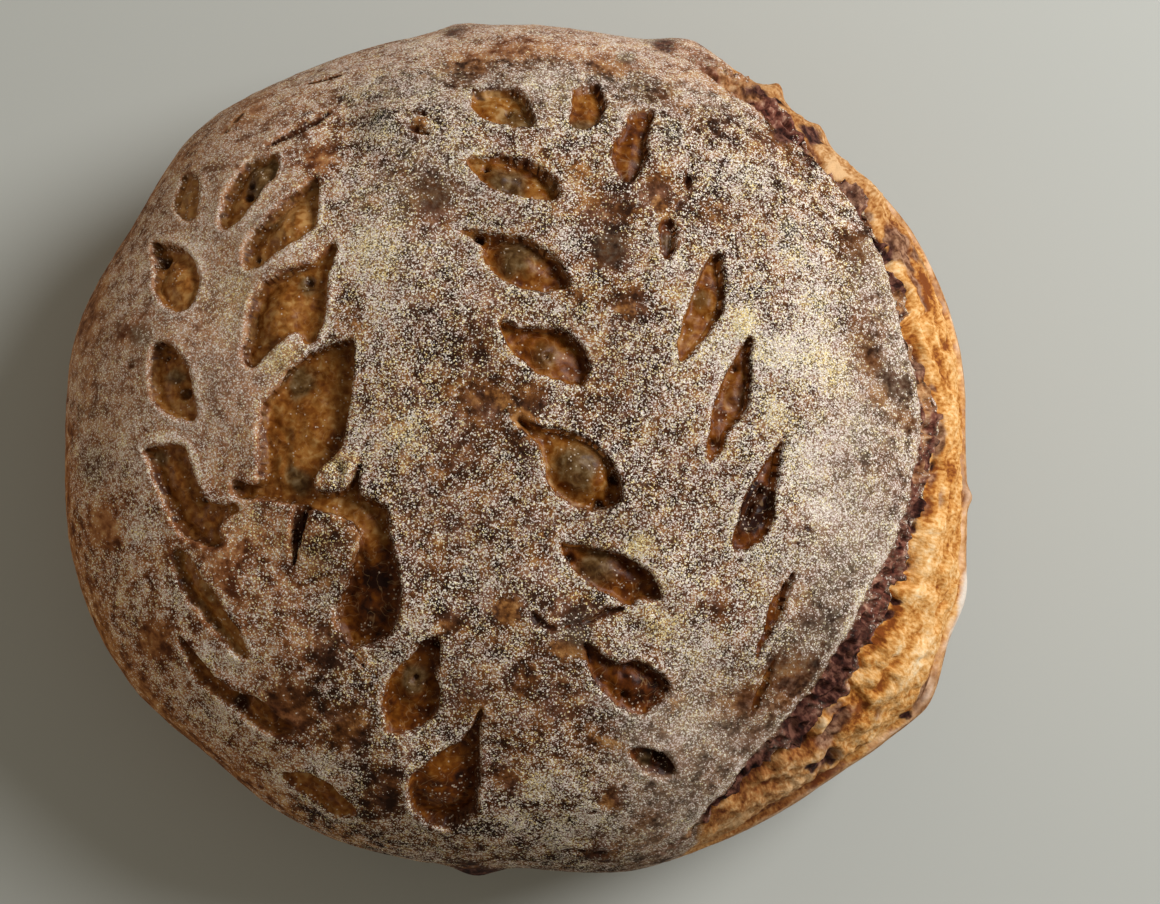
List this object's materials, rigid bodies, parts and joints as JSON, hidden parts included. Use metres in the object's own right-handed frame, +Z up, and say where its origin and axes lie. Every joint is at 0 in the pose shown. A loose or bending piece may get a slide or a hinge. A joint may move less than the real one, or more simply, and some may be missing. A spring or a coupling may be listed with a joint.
{
  "type": "round sourdough loaf",
  "caption": "Round sourdough loaf with a floured brown crust, leaf-shaped cuts laid out as ears of wheat, and a torn burst along its side.",
  "frame": {"origin": "under the middle of the loaf, on its flat base", "axes": "+Z up out of the base; +X across the loaf towards the burst side; +Y the way the ears of wheat point"},
  "size_m": [0.24, 0.227, 0.0952],
  "materials": {
    "crust": "dry baked bread crust, dusted with flour, matte and grainy"
  },
  "bodies": {
    "root": {"loaf": "crust"}
  },
  "joints": []
}
